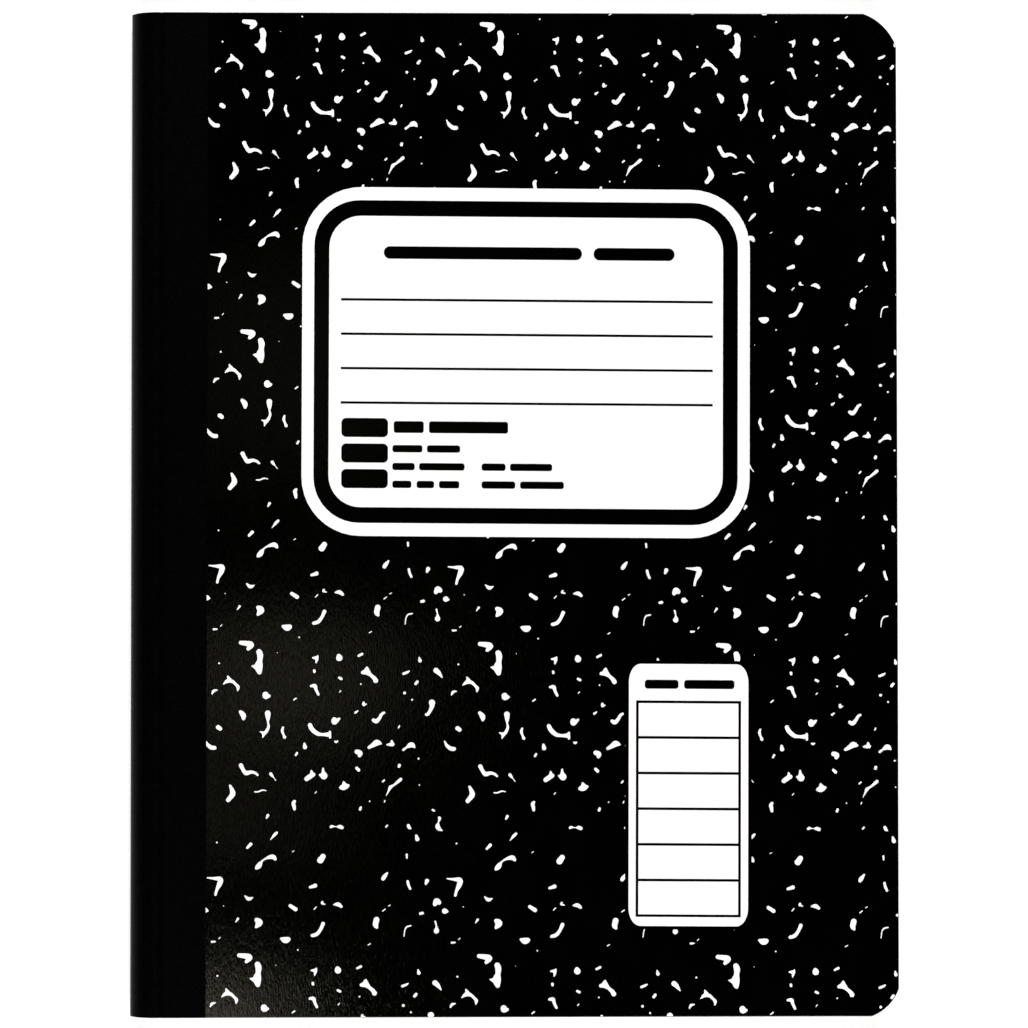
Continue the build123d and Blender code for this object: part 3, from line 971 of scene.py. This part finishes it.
# %% [markdown]
# The first and last leaves face the covers, so they show their ruling when a cover opens. Wide ruling is 11/32
# inch, with a margin line 1 1/4 inches in from the left of each page. The lines are cut into the leaf's
# face, as the print is cut into the covers.

# %% Make the two ruled leaves
RULE = 11 / 32 * 25.4
RULE_WIDTH = 0.26
FIRST_RULE = 31.0
MARGIN = 31.75


def strip(left, right, top, bottom):
    return [on_front(Vector(p)) for p in ((left, top), (right, top), (right, bottom), (left, bottom))]


def fill_leaf(filling, face_z, inner_z, margin):
    """A ruled leaf as a closed plate."""
    shapes, colours = [], []
    rules = int((BOOK_HEIGHT - FIRST_RULE - 8) / RULE) + 1
    for n in range(rules):
        top = FIRST_RULE + n * RULE
        shapes.append(strip(-1, BOOK_WIDTH + 1, top, top + RULE_WIDTH))
        colours.append(1)
    shapes.append(strip(margin, margin + RULE_WIDTH, -1, BOOK_HEIGHT + 1))
    colours.append(2)
    field = board_outline(BOARD_START, TRIM)
    places, triangles, tops = cut_fields(field, shapes)
    face_points = [filling.verts.new((p.x, p.y, face_z)) for p in places]
    for triangle, top in zip(triangles, tops):
        face = filling.faces.new([face_points[i] for i in triangle])
        face.material_index = 0 if top < 0 else colours[top]
    bmesh.ops.delete(filling, geom=[v for v in filling.verts if not v.link_faces], context="VERTS")
    rim = open_rim(filling)
    low = [filling.verts.new((v.co.x, v.co.y, inner_z)) for v in rim]
    for i in range(len(rim)):
        wall = filling.faces.new((rim[i - 1], rim[i], low[i], low[i - 1]))
        wall.material_index = 3
    filling.faces.new(low)
    bmesh.ops.recalc_face_normals(filling, faces=filling.faces)


LEAF_INSIDE = leaf_level(SHEETS - 1) + NOTCH
LEAF_GAP = 0.01 * MM  # between the ruled face and the lining
for name, side, margin in (("first_leaf", 1, MARGIN), ("last_leaf", -1, BOOK_WIDTH - MARGIN)):
    face_z, inner_z = MIDDLE + side * (HALF - LEAF_GAP), MIDDLE + side * LEAF_INSIDE
    finishes = [leaf_paper, rule_blue, margin_red, leaf_edge_painted_shade]
    leaf = new_piece(name, lambda b: fill_leaf(b, face_z, inner_z, margin), finishes, "text_block")
    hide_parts("page_block")
    print(name, len(leaf.data.polygons), "faces")

# %% [markdown]
# ## Linings, dividers and thread
# Their CAD shapes are already right, so they only take a finish.


# %% Dress the CAD pieces that stay
def thread_finish():
    """Twisted cotton."""
    finish = Finish("cotton_thread", Roughness=0.8)
    twist = finish.grain((0.08 * MM, 0.3 * MM, 0.08 * MM))
    finish.set("Base Color", finish.mix(twist, (0.62, 0.6, 0.54), (0.86, 0.85, 0.8)))
    finish.bump(twist, 0.03 * MM)
    return finish.material


def dress(node, material):
    mesh = frame["nodes"][node].data
    mesh.materials.clear()
    mesh.materials.append(material)


for node in ("front_endpaper", "back_endpaper"):
    dress(node, lining_paper)
for node in ("front_divider", "rear_divider"):
    dress(node, divider_card)
dress("sewing_thread", thread_finish())
print("dressed the linings, dividers and thread")

# %% [markdown]
# ## Floor, light and camera
# Black gloss shows whatever it faces, and from above the cover faces the ceiling. So the ceiling is dark, and two
# softboxes, high up beyond the head and the foot, light the white parts from the side. Four small warm lamps by
# the camera give the soft sheen that shows the board's fibres near the spine. The floor glows a little, like a
# light table, which keeps it pale right up to the book.

# %% Lay the floor
FLOOR_GLOW = 0.45
FLOOR_REACH = 4.0


def floor_finish():
    """Pale matt acrylic, lit from below."""
    finish = Finish("floor", Roughness=0.9, Specular_IOR_Level=0.0, Emission_Strength=FLOOR_GLOW)
    finish.set("Emission Color", (1, 1, 1, 1))
    finish.set("Base Color", finish.mix(finish.grain((0.2, 0.2, 0.2)), (0.66, 0.66, 0.66), (0.68, 0.68, 0.68)))
    return finish.material


floor_mesh = bpy.data.meshes.new("floor")
corners = [(a * FLOOR_REACH, b * FLOOR_REACH, 0) for a, b in ((-1, -1), (1, -1), (1, 1), (-1, 1))]
floor_mesh.from_pydata(corners, [], [(0, 1, 2, 3)])
floor_mesh.materials.append(floor_finish())
floor = bpy.data.objects.new("floor", floor_mesh)
bpy.context.scene.collection.objects.link(floor)
print("floor", 2 * FLOOR_REACH, "m across")

# %% Darken the ceiling
world = bpy.data.worlds.new("studio")
sky = Wiring(world)
direction = sky.node("ShaderNodeTexCoord", output="Generated")
height = sky.node("ShaderNodeSeparateXYZ", {}, {0: direction}, output="Z")
sky.plug(sky.tree.nodes["Background"].inputs["Strength"], sky.band(height, 0.1, 0.55, 0.6, 0.0, "SMOOTHSTEP"))
sky.plug(sky.tree.nodes["Background"].inputs["Color"], (1, 1, 1, 1))
bpy.context.scene.world = world
bpy.context.scene.view_settings.view_transform = "Standard"
print("ceiling ready")


# %% Hang the softboxes
def softbox(name, place, aim, size, watts, colour=(1, 1, 1)):
    """A rectangular lamp that looks at a point on the floor."""
    light = bpy.data.lights.new(name, "AREA")
    light.shape = "RECTANGLE"
    light.size, light.size_y = size
    light.energy = watts
    light.color = colour
    held = bpy.data.objects.new(name, light)
    held.location = place
    held.rotation_euler = (Vector(aim) - Vector(place)).to_track_quat("-Z", "Y").to_euler()
    bpy.context.scene.collection.objects.link(held)
    return held


softbox("beyond_head", (0.05, 1.25, 1.5), (0, 0, 0), (1.2, 0.5), 29)
softbox("beyond_foot", (-0.05, -1.25, 1.5), (0, 0, 0), (1.2, 0.5), 29)
CAMERA_PLACE = (-13.33 * MM, -20.58 * MM, 862 * MM)


def glare(name, across, down, reach, watts):
    """A small warm lamp beside the camera, hung where the cover mirrors it at one place of the print."""
    seen = on_front(Vector((across, down)))
    place = (2 * seen.x - CAMERA_PLACE[0], 2 * seen.y - CAMERA_PLACE[1], CAMERA_PLACE[2])
    held = softbox(name, place, (place[0], place[1], 0), (reach, reach), watts, (1, 0.96, 0.74))
    held.data.shape = "DISK"


glare("glare_middle", 37, 165, 0.07, 0.0075)
glare("glare_left", 17, 197, 0.06, 0.0028)
glare("glare_foot", 10, 250, 0.05, 0.024)
glare("glare_head", 38, 88, 0.12, 0.0036)
print("lamps ready")

# %% Set the camera
CAMERA_TILT = (1.376, -0.90, -0.028)
LENS = 120.8
camera_data = bpy.data.cameras.new("camera")
camera_data.sensor_width = 36
camera_data.lens = LENS
camera = bpy.data.objects.new("camera", camera_data)
camera.location = CAMERA_PLACE
camera.rotation_euler = [math.radians(a) for a in CAMERA_TILT]
bpy.context.scene.collection.objects.link(camera)
bpy.context.scene.camera = camera
print("camera", round(CAMERA_PLACE[2], 3), "m up")
